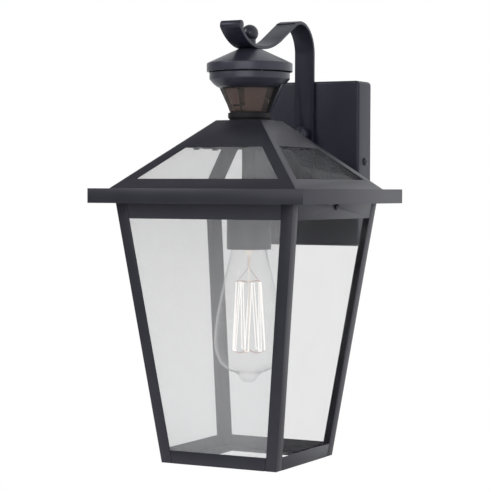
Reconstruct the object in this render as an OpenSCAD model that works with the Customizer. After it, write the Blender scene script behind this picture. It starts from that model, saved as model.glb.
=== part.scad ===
// Outdoor wall lantern: tapered glazed cage, hipped roof, motion sensor head,
// scrolled strap arm and wall plate. The origin is on the wall plane, at the
// centre of the plate's back. +Z is up, -Y points away from the wall.

/* [Wall plate] */
// Width of the wall plate
plate_w = 115; // [100:1:130]
// Height of the wall plate
plate_h = 160.6; // [150:0.2:190]
// Depth of the wall plate, gasket included
plate_d = 29.8; // [24:0.2:36]

/* [Lantern] */
// Distance from the wall to the lantern's axis
reach = 148.1; // [140:0.1:170]
// Height of the eave's top face below the plate's centre
eave_drop = 25; // [20:1:34]
// Half width of the eave rim
eave_half = 108; // [104:0.5:112]
// Height of the eave rim
eave_h = 13.25; // [10:0.25:16]
// Height of the cage from the eave's top face to its open bottom
cage_h = 250.9; // [240:0.1:270]
// Half width of the cage at the open bottom
cage_foot_half = 58.7; // [56:0.1:64]
// Height of the roof
roof_h = 62.9; // [56:0.1:66]
// Half width of the roof at the eave
roof_foot_half = 93.85; // [90:0.05:96]

/* [Arm] */
// Width of the strap arm
strap_w = 20.5; // [16:0.5:26]
// Thickness of the strap arm
strap_t = 3.2; // [2.6:0.1:4]

/* [Bulb] */
// Diameter of the bulb's glass
bulb_d = 64; // [60:0.5:66]

/* [Hidden] */
$fn = 64;
sheet_t = 1.2;
glass_t = 2;
fit_gap = 0.3;

// Cage and roof slopes
cage_top_half = 91.18;
cage_lean = atan((cage_top_half - cage_foot_half) / cage_h);
roof_top_half = 22.8;
roof_lean = -atan((roof_foot_half - roof_top_half) / roof_h);
post_w = 11;
rail_h = 12;
rail_top = 27.2;
rail_roof = 1.3;
cage_screw_z = -15.6;
opening_half = 36;
window_low = 8.85;
window_high = 38.3;
hip_leg_w = 12;

// Sensor head heights above the eave's top face
base_top = 70;
lens_low = 70.2;
lens_top = 92.9;
skirt_low = 93;
skirt_top = 107;
brim_low = 107.7;
brim_top = 115.5;
cap_top = 129;
stud_r = 4.8;
lens_low_r = 18.2;
lens_top_r = 26;
lens_t = 1.4;
lens_arc = 180;
housing_r = 37.2;
brim_r = 39.7;
gland_height = 102.5;

// Arm path, in the plane through the lantern's axis
strap_low = 129;
dip_front_y = 0;
dip_rear_y = 4;
plate_front = reach - plate_d;
front_r = 53;
rear_r = 90;
arch_r = 30;
arch_y = plate_front - arch_r;
arch_z = 131.7;
leg_end = -20;
bead_r = 4.3;
nut_rise = 28.3;
ball_r = 7.9;

// Socket and bulb heights below the eave's top face
tube_r = 6.85;
cup_top = -6;
cup_bottom = -56;
cup_r = 20.65;
contact_z = -26.5;
base_end = -52;
bulb_tip = -179.4;
bulb_r = bulb_d / 2;
filament_top = -87;
filament_low = -151;
stem_foot = -120;

// Wall plate fixings, measured from the plate's centre
side_screw_rise = 2;
side_screw_y = -14.6;
slot_pitch = 79.4;
slot_w = 4.8;
slot_len = 14.6;
switch_z = 82;
gland_x = -26;
gland_z = -34;
ground_x = 22;
ground_z = 6;

// ---------- helpers ----------

function cage_half(z) = cage_foot_half + (cage_top_half - cage_foot_half) * (cage_h + z) / cage_h;
function roof_half(z) = roof_foot_half - (roof_foot_half - roof_top_half) * z / roof_h;

// Moves from the wall frame to the lantern's axis, with z = 0 on the eave's top face
module at_lantern() {
    translate([0, -reach, -eave_drop]) children();
}

// Lays a flat drawing in a sloping face: x runs along the face, y up its slope,
// z out of it. Side 0 is the front, 1 the right, 2 the back and 3 the left.
module on_face(side, half_at_zero, lean) {
    rotate([0, 0, 90 * side]) translate([0, -half_at_zero, 0]) rotate([90 + lean, 0, 0]) children();
}

module cage_face(side) {
    on_face(side, cage_top_half, cage_lean) children();
}

module roof_face(side) {
    on_face(side, roof_foot_half, roof_lean) children();
}

function cage_v(z) = z / cos(cage_lean);
function roof_v(z) = z / cos(roof_lean);

// Layer of a face, from depth in under its outer surface
module layer(depth, thick) {
    translate([0, 0, -depth - thick]) linear_extrude(thick) children();
}

module ring(r_out, r_in, z_low, z_top) {
    translate([0, 0, z_low]) difference() {
        cylinder(h = z_top - z_low, r = r_out);
        translate([0, 0, -1]) cylinder(h = z_top - z_low + 2, r = r_in);
    }
}

// Square tube around the lantern's axis
module square_ring(half_out, half_in, z_low, z_top) {
    h = z_top - z_low;
    translate([0, 0, z_low + h / 2]) difference() {
        cube([2 * half_out, 2 * half_out, h], center = true);
        cube([2 * half_in, 2 * half_in, h + 2], center = true);
    }
}

module rod_y(r, y_low, y_top) {
    translate([0, y_top, 0]) rotate([90, 0, 0]) cylinder(h = y_top - y_low, r = r);
}

module rod_x(r, x_low, x_top) {
    translate([x_low, 0, 0]) rotate([0, 90, 0]) cylinder(h = x_top - x_low, r = r);
}

// Rectangle with round corners, all of it arcs and lines
module round_rect(w, h, r) {
    square([w - 2 * r, h], center = true);
    square([w, h - 2 * r], center = true);
    for (sx = [-1, 1], sy = [-1, 1])
        translate([sx * (w / 2 - r), sy * (h / 2 - r)]) circle(r = r);
}

// Slab parallel to the wall from y_low to y_top
module wall_slab(y_low, y_top) {
    translate([0, y_top, 0]) rotate([90, 0, 0]) linear_extrude(y_top - y_low) children();
}

module hex_y(across, y_low, y_top) {
    translate([0, y_top, 0]) rotate([90, 0, 0]) cylinder(h = y_top - y_low, r = across / sqrt(3), $fn = 6);
}

module hex_nut(across, bore, z_low, z_top) {
    translate([0, 0, z_low]) difference() {
        cylinder(h = z_top - z_low, r = across / sqrt(3), $fn = 6);
        translate([0, 0, -1]) cylinder(h = z_top - z_low + 2, r = bore);
    }
}

// ---------- wall group ----------

gasket_t = 1.8;
pan_wall = 2;
pan_corner = 4;
edge_step = 1.1;

module wall_plate() color("#2a2a32") difference() {
    union() {
        wall_slab(-plate_d + 2 * edge_step, -gasket_t) round_rect(plate_w, plate_h, pan_corner);
        wall_slab(-plate_d + edge_step * 0.8, -plate_d + 2 * edge_step)
            round_rect(plate_w - edge_step, plate_h - edge_step, pan_corner);
        wall_slab(-plate_d, -plate_d + edge_step * 0.8)
            round_rect(plate_w - 3 * edge_step, plate_h - 3 * edge_step, pan_corner);
    }
    wall_slab(-plate_d + pan_wall, 1) round_rect(plate_w - 2 * pan_wall, plate_h - 2 * pan_wall, pan_corner - 1);
    for (s = [-1, 1]) translate([0, 0, s * nut_rise]) rod_y(2.7, -plate_d - 1, 0);
    translate([0, side_screw_y, side_screw_rise]) rod_x(2.4, -plate_w, plate_w);
    translate([gland_x, 0, gland_z]) rod_y(5, -plate_d - 1, 0);
}

gasket_w = 2.2;

module wall_gasket() color("#1b1b1b") difference() {
    wall_slab(-gasket_t, 0) round_rect(plate_w - 1, plate_h - 1, pan_corner);
    wall_slab(-gasket_t - 1, 1)
        round_rect(plate_w - 1 - 2 * gasket_w, plate_h - 1 - 2 * gasket_w, pan_corner - gasket_w + 1);
}

bracket_half = plate_w / 2 - pan_wall - 1.4;
bracket_t = 2;
bracket_h = 24;

ear_len = 19;

// Flat bar against the wall with an ear bent forward at each end
module mounting_bracket() color("#b9bcc0") difference() {
    union() {
        wall_slab(-bracket_t, 0) square([2 * bracket_half, bracket_h], center = true);
        for (s = [-1, 1])
            translate([s * (bracket_half - bracket_t / 2), -bracket_t - ear_len / 2 + 0.1, side_screw_rise])
                cube([bracket_t, ear_len, 16], center = true);
    }
    for (s = [-1, 1]) translate([s * slot_pitch / 2, 0, 0]) {
        cube([slot_len - slot_w, 12, slot_w], center = true);
        for (e = [-1, 1]) translate([e * (slot_len - slot_w) / 2, 0, 0]) rod_y(slot_w / 2, -9, 2);
    }
    rod_y(5.2, -9, 2);
    translate([ground_x, 0, ground_z]) rod_y(1.9, -9, 2);
    translate([0, side_screw_y, side_screw_rise]) rod_x(2.15, -plate_w, plate_w);
}

module plate_side_screws() color("#34343a") for (s = [0, 1]) mirror([s, 0, 0])
    translate([0, side_screw_y, side_screw_rise]) difference() {
        union() {
            rod_x(1.95, bracket_half - 5, plate_w / 2 + 1);
            rod_x(3.9, plate_w / 2, plate_w / 2 + 1.7);
            rod_x(2.8, plate_w / 2, plate_w / 2 + 2.5);
        }
        translate([plate_w / 2 + 2.6, 0, 0]) cube([1.6, 0.9, 6.4], center = true);
    }

module ground_screw() color("#2e8b45") translate([ground_x, 0, ground_z]) difference() {
    union() {
        rod_y(1.8, -bracket_t - 1, -0.3);
        hex_y(7.5, -bracket_t - 3, -bracket_t);
    }
    translate([0, -bracket_t - 3, 0]) cube([1, 1.4, 10], center = true);
}

module plate_gland() color("#17171a") translate([gland_x, 0, gland_z]) difference() {
    union() {
        rod_y(4.8, -plate_d - 1, -plate_d + 4.5);
        rod_y(7, -plate_d - 2.4, -plate_d);
        rod_y(6.6, -plate_d + pan_wall, -plate_d + 4.5);
    }
    rod_y(3, -plate_d - 4, 0);
}

// ---------- arm ----------

front_c = [dip_front_y, strap_low + front_r];
rear_c = [dip_rear_y, strap_low + rear_r];
arch_c = [arch_y, arch_z];
mid_rear = rear_r - strap_t / 2;
mid_arch = arch_r - strap_t / 2;
centre_gap = norm(arch_c - rear_c);
centre_dir = atan2(arch_z - rear_c[1], arch_y - rear_c[0]);
join_dir = centre_dir - acos((mid_rear + mid_arch) / centre_gap);
bead_dir = 224;
bead_c = front_c + (front_r - bead_r) * [cos(bead_dir), sin(bead_dir)];

// Strap along an arc about c, between two radii and two directions
module strap_arc(c, r_out, a_from, a_to) translate(c) {
    steps = 36;
    r_in = r_out - strap_t;
    outer = [for (i = [0:steps]) let (a = a_from + (a_to - a_from) * i / steps) r_out * [cos(a), sin(a)]];
    inner = [for (i = [steps:-1:0]) let (a = a_from + (a_to - a_from) * i / steps) r_in * [cos(a), sin(a)]];
    polygon(concat(outer, inner));
}

// Side view of the strap: x is the distance from the lantern's axis to the wall
module strap_outline() {
    overlap = 0.4;
    along = [-sin(join_dir), cos(join_dir)];
    out = [cos(join_dir), sin(join_dir)];
    start = rear_c + mid_rear * out;
    finish = arch_c - mid_arch * out;
    half = strap_t / 2;
    strap_arc(front_c, front_r, bead_dir, 270 + overlap);
    translate(bead_c) circle(r = bead_r);
    strap_arc(rear_c, rear_r, 270, 360 + join_dir);
    translate([dip_front_y - overlap, strap_low]) square([dip_rear_y - dip_front_y + 2 * overlap, strap_t]);
    polygon([
        start + half * out - overlap * along, finish + half * out + overlap * along,
        finish - half * out + overlap * along, start - half * out - overlap * along
    ]);
    strap_arc(arch_c, arch_r, 0, 180 + join_dir);
    translate([plate_front - strap_t, leg_end + 6]) square([strap_t, arch_z - leg_end - 6 + overlap]);
}

module scroll_arm() color("#33333b") at_lantern() difference() {
    union() {
        translate([-strap_w / 2, 0, 0]) rotate([90, 0, 90]) linear_extrude(strap_w) strap_outline();
        translate([0, plate_front - strap_t, leg_end + 10.25]) rotate([-90, 0, 0])
            cylinder(h = strap_t, r = strap_w / 2);
    }
    for (s = [-1, 1]) translate([0, 0, eave_drop + s * nut_rise]) rod_y(2.7, plate_front - 9, plate_front + 3);
    translate([0, 0, strap_low - 6]) cylinder(h = 14, r = stud_r + 0.2);
}

arm_face_y = -plate_d - strap_t;
low_nut_h = 4.4;

// The upper bolt reaches into the ball nut, the lower one into the low cap nut
module arm_bolts() color("#8d9095") for (s = [-1, 1]) translate([0, 0, s * nut_rise]) {
    rod_y(2.5, arm_face_y - (s > 0 ? 8 : low_nut_h - 1.2), -plate_d + pan_wall + 1);
    hex_y(8, -plate_d + pan_wall + 0.02, -plate_d + pan_wall + 3.5);
}

// Ball with a flat seat and a tapped bore, seat at z = 0, standing on a collar
module ball_knob(collar_h, collar_r, bore) {
    difference() {
        union() {
            translate([0, 0, collar_h + 5.4]) sphere(r = ball_r);
            cylinder(h = collar_h + 2, r = collar_r);
        }
        translate([0, 0, -4]) cube([4 * ball_r, 4 * ball_r, 8], center = true);
        translate([0, 0, -1]) cylinder(h = 9, r = bore);
    }
}

// Low cap nut with a domed end, seat at z = 0, flat enough to pass behind the eave
module low_cap_nut(h, bore) difference() {
    union() {
        cylinder(h = h - 1.4, r = 5.4);
        translate([0, 0, h - 1.4]) cylinder(h = 0.9, r1 = 5.4, r2 = 4.4);
        translate([0, 0, h - 0.5]) cylinder(h = 0.5, r1 = 4.4, r2 = 2.8);
    }
    translate([0, 0, -1]) cylinder(h = h - 0.2, r = bore);
}

module arm_front_nuts() color("#3a3a43") {
    translate([0, arm_face_y, nut_rise]) rotate([90, 0, 0]) ball_knob(0.8, 5.4, 2.5);
    translate([0, arm_face_y, -nut_rise]) rotate([90, 0, 0]) low_cap_nut(low_nut_h, 2.5);
}

module arm_lock_nuts() color("#9a9da2") at_lantern() {
    hex_nut(14, stud_r + 0.1, 122.6, 126.2);
    hex_nut(14, stud_r + 0.1, roof_h - sheet_t - 4, roof_h - sheet_t);
    hex_nut(13, 4.6, cup_top - 4.4, cup_top - sheet_t);
}

module hanger_stud() color("#8d9095") at_lantern() translate([0, 0, 50])
    cylinder(h = strap_low + strap_t + 7 - 50, r = stud_r);

// The collar stands on the curved strap's sides, so its seat is above the strap's lowest line
finial_lift = 1;

module top_ball_finial() color("#3a3a43") at_lantern()
    translate([0, 0, strap_low + strap_t + finial_lift]) ball_knob(4.95, 5.6, stud_r);

// ---------- sensor head ----------

cap_wall = 2;

module sensor_cap() color("#3d3d45") at_lantern() rotate_extrude() polygon([
    [brim_r, brim_low], [brim_r, brim_top], [31.3, 119.5], [17.1, 126], [10.4, cap_top],
    [stud_r + 0.2, cap_top], [stud_r + 0.2, cap_top - 2.8],
    [9.4, cap_top - 2.8], [16.6, 123.8], [30.8, 117.4], [brim_r - cap_wall, 113.6], [brim_r - cap_wall, brim_low]
]);

module sensor_housing() color("#3a3a42") at_lantern() {
    difference() {
        housing_shell();
        translate([0, 0, gland_height]) rod_y(3.3, 20, housing_r + 2);
    }
    for (a = [45:90:315]) rotate([0, 0, a]) translate([22, 0, 94.5]) cylinder(h = 3.5, r = 2.2);
    for (a = [45:90:315]) rotate([0, 0, a]) translate([housing_r - 1.9, 0, 105]) cylinder(h = 6, r = 1.7);
}

module housing_shell() {
    rotate_extrude() polygon([
        [stud_r + 0.3, skirt_low], [27.6, skirt_low], [30.5, 94.3], [33.3, 97], [housing_r, 101],
        [housing_r, skirt_top], [housing_r - 1.8, skirt_top], [housing_r - 1.8, 101.6], [32, 97.9],
        [29.8, 95.9], [27, 94.8], [stud_r + 0.3, 94.8]
    ]);
}

module sensor_base() color("#36363e") at_lantern() rotate_extrude() polygon([
    [stud_r + 0.3, roof_h], [18.6, roof_h], [18.6, 64.4], [19.8, 65.2], [19.8, base_top],
    [18.4, base_top], [18.4, 66], [stud_r + 0.3, 66]
]);

module sensor_lens() color([0.43, 0.39, 0.38, 0.75]) at_lantern()
    rotate([0, 0, 270 - lens_arc / 2]) rotate_extrude(angle = lens_arc) polygon([
        [lens_low_r - lens_t, lens_low], [lens_low_r, lens_low],
        [lens_top_r, lens_top], [lens_top_r - lens_t, lens_top]
    ]);

// Slot in the rear shell for one slide switch
module switch_slot(x, y_low, y_top) {
    translate([x - 4.6, y_low, switch_z - 1.9]) cube([9.2, y_top - y_low, 3.8]);
}

switch_x = 6.8;
switch_face_y = 25.5;

// The rear shell flares out under the housing's lip, clear of it by a fraction of a millimetre
shell_low_r = 19.7;
shell_t = 1.8;
shell_arc = 360 - lens_arc - 0.8;
end_wall_arc = 2.6;

// The shell, and an upright wall clipped into each end of it behind the lens's edge
module sensor_rear_shell() color("#303038") at_lantern() {
    difference() {
        rotate([0, 0, 90 - shell_arc / 2]) rotate_extrude(angle = shell_arc)
            polygon([[shell_low_r - shell_t, lens_low], [shell_low_r, lens_low], [33, 96.5], [30.6, 94.2]]);
        translate([-14, 14, switch_z - 5.5]) cube([28, 20, 11]);
    }
    for (a = [90 - shell_arc / 2, 90 + shell_arc / 2 - end_wall_arc])
        rotate([0, 0, a]) rotate_extrude(angle = end_wall_arc) polygon([
            [lens_low_r - lens_t - 0.6, lens_low + 0.2], [shell_low_r - shell_t, lens_low + 0.2],
            [30.3, 93.9], [27.5, skirt_low - 0.2], [lens_top_r - lens_t - 0.6, skirt_low - 0.2]
        ]);
}

module switch_plate() color("#26262c") at_lantern() difference() {
    intersection() {
        union() {
            translate([-13.8, switch_face_y - 1.6, switch_z - 5.3]) cube([27.6, 1.6, 10.6]);
            for (s = [-1, 1]) translate([s * 13 - 0.8, 15, switch_z - 5.3]) cube([1.6, 10, 10.6]);
        }
        translate([0, 0, switch_z - 6]) cylinder(h = 12, r = 29);
    }
    for (s = [-1, 1]) switch_slot(s * switch_x, switch_face_y - 4, switch_face_y + 2);
}

// Slide knob with a foot behind its plate
module slide_knob(x) at_lantern() {
    translate([x - 1.7, switch_face_y - 2.2, switch_z - 1.6]) cube([3.4, 4, 3.2]);
    translate([x - 3, switch_face_y - 3.4, switch_z - 3]) cube([6, 1.4, 6]);
}

switch_travel = 4;

module time_switch() color("#d8d8d4") slide_knob(-switch_x - switch_travel / 2);

module range_switch() color("#d8d8d4") slide_knob(switch_x - switch_travel / 2);

module sensor_gland() color("#17171a") at_lantern() translate([0, 0, gland_height]) difference() {
    union() {
        rod_y(3.2, housing_r - 3.4, housing_r + 1);
        rod_y(4.3, housing_r + 0.3, housing_r + 4);
    }
    rod_y(2, housing_r - 5, housing_r + 6);
}

module sensor_board() color("#2f6b45") at_lantern() ring(29, 8.4, 98, 99.6);

module board_components() color("#27405f") at_lantern() {
    translate([-22, -8, 99.6]) cube([12, 15, 10]);
    translate([15, 8, 99.6]) cylinder(h = 9, r = 4.5);
    translate([16, -10, 99.6]) cylinder(h = 7, r = 3);
    translate([-4, 13, 99.6]) cube([10, 7, 4]);
    translate([-5, -21, 99.6]) cube([12, 6, 3]);
}

detector_y = -10.5;

module detector_board() color("#2b5c3e") at_lantern()
    translate([-9, detector_y, 70.6]) cube([18, 1.4, 21]);

module heat_detector() color("#a9a59b") at_lantern() translate([0, 0, 84]) {
    rod_y(4.6, detector_y - 3.6, detector_y);
    rod_y(5.2, detector_y - 0.8, detector_y);
}

module light_cell() color("#c9b37a") at_lantern() translate([0, 0, 74.6]) rod_y(2.4, detector_y - 2, detector_y);

// ---------- roof and eave ----------

// Outline of one roof face between two heights, drawn in the face
module roof_band(z_low, z_high, side_cut) {
    polygon([
        [-(roof_half(z_low) - side_cut), roof_v(z_low)], [roof_half(z_low) - side_cut, roof_v(z_low)],
        [roof_half(z_high) - side_cut, roof_v(z_high)], [-(roof_half(z_high) - side_cut), roof_v(z_high)]
    ]);
}

// Trapezoid's outline in the XZ plane, drawn out along Y
module ridge(half_low, half_high, z_low, z_high) {
    length = 2 * max(half_low, half_high) + 2;
    rotate([90, 0, 0]) linear_extrude(length, center = true) polygon([
        [-half_low, z_low], [half_low, z_low], [half_high, z_high], [-half_high, z_high]
    ]);
}

// Square frustum around the lantern's axis
module frustum(half_low, half_high, z_low, z_high) intersection() {
    ridge(half_low, half_high, z_low, z_high);
    rotate([0, 0, 90]) ridge(half_low, half_high, z_low, z_high);
}

module roof_frame() color("#34343a") at_lantern() {
    skin = sheet_t / cos(roof_lean);
    lid = roof_h - sheet_t;
    difference() {
        frustum(roof_foot_half, roof_top_half, 0, roof_h);
        frustum(roof_half(-1) - skin, roof_half(lid) - skin, -1, lid);
        for (side = [0:3]) roof_face(side) layer(-1, sheet_t + 2) roof_band(window_low, window_high, hip_leg_w);
        translate([0, 0, roof_h - 3]) cylinder(h = 6, r = stud_r + 0.3);
    }
    difference() {
        square_ring(roof_half(sheet_t) - 0.7, 85, 0, sheet_t);
        roof_screw_holes();
    }
}

module eave_rim() color("#3e3e42") at_lantern() {
    square_ring(eave_half, eave_half - sheet_t, -eave_h, 0);
    difference() {
        square_ring(eave_half - 0.5, 80, -sheet_t, 0);
        roof_screw_holes();
    }
}

// The screws that clamp roof, eave and cage rails stand two to a side
module at_roof_screws() {
    for (side = [0:3], s = [-1, 1]) rotate([0, 0, 90 * side]) translate([s * 45, -87.4, 0]) children();
}

module roof_screw_holes() {
    at_roof_screws() translate([0, 0, -8]) cylinder(h = 12, r = 1.7);
}

module roof_screws() color("#6f7276") at_lantern() at_roof_screws() {
    translate([0, 0, -5]) cylinder(h = 6.3, r = 1.5);
    translate([0, 0, sheet_t]) cylinder(h = 1.1, r = 2.3);
}

// One screw under the eave on the left and on the right side
module at_cage_screws() {
    for (side = [1, 3]) rotate([0, 0, 90 * side])
        translate([0, -cage_half(cage_screw_z), cage_screw_z]) rotate([90 + cage_lean, 0, 0]) children();
}

module cage_screws() color("#1d1d20") at_lantern() at_cage_screws() {
    cylinder(h = 1.6, r = 3.1);
    translate([0, 0, -3]) cylinder(h = 4, r = 1.5);
}

module roof_pane(side) color([0.8, 0.86, 0.9, 0.3]) at_lantern() roof_face(side)
    layer(sheet_t + fit_gap, glass_t) roof_band(window_low - 2.2, window_high + 4, hip_leg_w - 5);

// Z-shaped clip behind a pane's edge: its foot is on the frame, its arm reaches
// over the glass towards +y (reach_up = 1) or -y (reach_up = 0)
module glass_clip(arm, reach_up) {
    gap = fit_gap + glass_t + 0.2;
    layer(sheet_t, gap + 1) translate([-5, 0]) square([10, 1.4]);
    layer(sheet_t + gap, 1) translate([-5, reach_up ? 0 : 1.4 - arm]) square([10, arm]);
}

module roof_glass_clips() color("#2c2c31") at_lantern() for (side = [0:3], s = [-1, 1]) roof_face(side) {
    translate([s * 35, roof_v(5.1)]) glass_clip(5.4, true);
    translate([s * 18, roof_v(window_high + 5.4)]) glass_clip(8, false);
}

// ---------- cage ----------

// Outline of one cage face between two heights, from side_cut inside the corner
module cage_band(z_low, z_high, side_cut) {
    polygon([
        [-(cage_half(z_low) - side_cut), cage_v(z_low)], [cage_half(z_low) - side_cut, cage_v(z_low)],
        [cage_half(z_high) - side_cut, cage_v(z_high)], [-(cage_half(z_high) - side_cut), cage_v(z_high)]
    ]);
}

module corner_posts() color("#36363c") at_lantern() intersection() {
    union() for (side = [0:3]) cage_face(side) layer(0, sheet_t) difference() {
        cage_band(-cage_h - 1, 0, 0);
        cage_band(-cage_h - 2, 1, post_w);
    }
    translate([0, 0, -(cage_h + rail_roof) / 2]) cube([220, 220, cage_h - rail_roof], center = true);
}

// Flat flange of a rail, drawn from above, with mitred ends
module mitred_flange(half_out, half_in, gap) {
    polygon([
        [-half_out + gap, -half_out], [half_out - gap, -half_out], [half_in - gap, -half_in], [-half_in + gap, -half_in]
    ]);
}

module top_rail(side) color("#34343a") at_lantern() difference() {
    union() {
        cage_face(side) layer(0, sheet_t) cage_band(-rail_top, -rail_roof - 0.1, post_w + fit_gap);
        rotate([0, 0, 90 * side]) translate([0, 0, -rail_roof - sheet_t]) linear_extrude(sheet_t) {
            mitred_flange(cage_top_half - 2.4, 80, 0.4);
            translate([0, -cage_top_half + 1.6]) square([2 * (cage_top_half - post_w - 2), 2], center = true);
        }
    }
    roof_screw_holes();
    at_cage_screws() translate([0, 0, -4]) cylinder(h = 8, r = 1.7);
}

// Tabs bent up from the ledge that hold the foot of a pane
tab_w = 11;
tab_h = 5.4;
tab_depth = sheet_t + fit_gap + glass_t + 0.5;

module bottom_rail(side) color("#3c3c42") at_lantern() {
    cage_face(side) layer(0, sheet_t) cage_band(-cage_h, -cage_h + rail_h, post_w + fit_gap);
    rotate([0, 0, 90 * side]) {
        translate([0, 0, -cage_h]) linear_extrude(sheet_t)
            mitred_flange(cage_foot_half - sheet_t - 0.2, opening_half, 0.15);
        translate([0, -cage_foot_half + 1, -cage_h + sheet_t / 2])
            cube([2 * (cage_foot_half - post_w - 1), 2, sheet_t], center = true);
        for (s = [-1, 1]) translate([s * 24 - tab_w / 2, -cage_foot_half + tab_depth, -cage_h + 0.6])
            cube([tab_w, sheet_t, tab_h]);
    }
}

// The panes end below the cage screws
pane_top = -18.2;

module body_pane(side) color([0.8, 0.86, 0.9, 0.3]) at_lantern() cage_face(side)
    layer(sheet_t + fit_gap, glass_t) cage_band(-cage_h + sheet_t + 0.5, pane_top, 4.4);

module body_glass_clips() color("#2c2c31") at_lantern() for (side = [0:3], s = [-1, 1])
    cage_face(side) translate([s * 40, cage_v(-12)]) glass_clip(12, false);

// ---------- socket ----------

module socket_tube() color("#3f3f45") at_lantern() ring(tube_r, stud_r + 0.4, cup_top, roof_h - sheet_t - 4.2);

module socket_nipple() color("#8d9095") at_lantern() ring(4.5, 3.2, -15, cup_top + 14);

module socket_cup() color("#3d3d42") at_lantern() {
    ring(cup_r, cup_r - 1.2, cup_bottom, cup_top);
    ring(cup_r - 1, 4.7, cup_top - 1.2, cup_top);
}

holder_top = -13;
holder_low = -53.4;

module lamp_holder() color("#e9e6dc") at_lantern() difference() {
    translate([0, 0, holder_low]) cylinder(h = holder_top - holder_low, r = 18.8);
    translate([0, 0, -55]) cylinder(h = 31, r = 14.4);
    translate([0, 0, holder_top - 2.6]) cylinder(h = 6, r = 4.7);
    translate([0, 0, -30]) cylinder(h = 20, r = 2);
}

module screw_shell() color("#c8a24c") at_lantern() {
    ring(14.2, 13.4, base_end - 0.5, -24.2);
    ring(14, 7, -25, -24.2);
}

module centre_contact() color("#c8a24c") at_lantern() {
    translate([0, 0, -25.6]) cylinder(h = 9.6, r = 1.8);
    translate([0, 0, contact_z + 0.4]) cylinder(h = 0.7, r = 4.2);
}

// ---------- bulb ----------

// Outer radius of the glass, from the neck to the pip at its foot
function glass_points(inset) = let (s = bulb_r / 32) [
    [12.5 - inset, base_end + 1.5], [12.5 - inset, base_end - 0.1], [16.4 * s - inset, -56.4],
    [18 * s - inset, -64], [20.6 * s - inset, -75], [24.2 * s - inset, -90], [28 * s - inset, -108],
    [31 * s - inset, -126], [32 * s - inset, -142], [30.6 * s - inset, -152], [27.2 * s - inset, -160.4],
    [23 * s - inset, -165.2], [18 * s - inset, -168.4 + inset], [13.4 * s - inset, -170.2 + inset],
    [10.4 - inset, -171.8 + inset], [8.9 - inset, -174.2], [7.2 - inset, -176.8 + inset],
    [4.2 - inset, -178.8 + inset], [0, bulb_tip + inset]
];

module bulb_glass() color([0.85, 0.9, 0.92, 0.35]) at_lantern() rotate_extrude() {
    outer = glass_points(0);
    inner = glass_points(0.9);
    polygon(concat(outer, [for (i = [len(inner) - 1:-1:0]) inner[i]]));
}

module bulb_base() color("#c9ccd0") at_lantern() {
    difference() {
        union() {
            translate([0, 0, base_end]) cylinder(h = 20.6, r = 12.95);
            translate([0, 0, -31.4]) cylinder(h = 3.4, r1 = 12.4, r2 = 5.2);
        }
        translate([0, 0, base_end - 1]) cylinder(h = 19, r = 11.9);
        translate([0, 0, base_end - 1]) cylinder(h = 2.7, r = 12.7);
        translate([0, 0, -34]) cylinder(h = 8, r = 4.3);
    }
}

module bulb_tip_contact() color("#b9bcc0") at_lantern() {
    translate([0, 0, -33.4]) cylinder(h = 33.4 + contact_z, r = 4.2);
}

module bulb_stem() color([0.85, 0.9, 0.92, 0.5]) at_lantern() {
    ring(11.2, 9, base_end - 2.4, base_end + 1.2);
    translate([0, 0, -68]) cylinder(h = 16.4, r1 = 3, r2 = 9.4);
    translate([0, 0, stem_foot]) cylinder(h = -67 - stem_foot, r = 1.2);
}

module bulb_filament() color("#ffb45a") at_lantern() {
    strands = 10;
    for (i = [0:strands - 1]) rotate([0, 0, i * 360 / strands])
        translate([13.4, 0, filament_low]) cylinder(h = filament_top - filament_low, r = 0.5);
    ring(14, 12.8, filament_top, filament_top + 1);
    ring(14, 12.8, filament_low - 1, filament_low);
    for (a = [0:90:270]) rotate([0, 0, a]) {
        translate([0, 0, filament_top + 0.5]) rod_x(0.4, 1.3, 13);
        translate([0, 0, filament_low - 0.5]) rod_x(0.4, 0.4, 13);
    }
    translate([0, 0, filament_low - 1]) cylinder(h = stem_foot - filament_low + 1, r = 0.8);
}

wall_plate();
wall_gasket();
mounting_bracket();
plate_side_screws();
ground_screw();
plate_gland();
scroll_arm();
arm_bolts();
arm_front_nuts();
arm_lock_nuts();
hanger_stud();
top_ball_finial();
sensor_cap();
sensor_housing();
sensor_base();
sensor_lens();
sensor_rear_shell();
sensor_gland();
sensor_board();
board_components();
detector_board();
heat_detector();
light_cell();
switch_plate();
time_switch();
range_switch();
roof_frame();
eave_rim();
roof_screws();
cage_screws();
roof_pane(0);  // roof_pane_front
roof_pane(1);  // roof_pane_right
roof_pane(2);  // roof_pane_back
roof_pane(3);  // roof_pane_left
roof_glass_clips();
corner_posts();
top_rail(0);  // top_rail_front
top_rail(1);  // top_rail_right
top_rail(2);  // top_rail_back
top_rail(3);  // top_rail_left
bottom_rail(0);  // bottom_rail_front
bottom_rail(1);  // bottom_rail_right
bottom_rail(2);  // bottom_rail_back
bottom_rail(3);  // bottom_rail_left
body_pane(0);  // body_pane_front
body_pane(1);  // body_pane_right
body_pane(2);  // body_pane_back
body_pane(3);  // body_pane_left
body_glass_clips();
socket_tube();
socket_nipple();
socket_cup();
lamp_holder();
screw_shell();
centre_contact();
bulb_glass();
bulb_base();
bulb_tip_contact();
bulb_stem();
bulb_filament();
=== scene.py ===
import math

import bmesh
import bpy
from mathutils import Matrix, Vector


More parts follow.
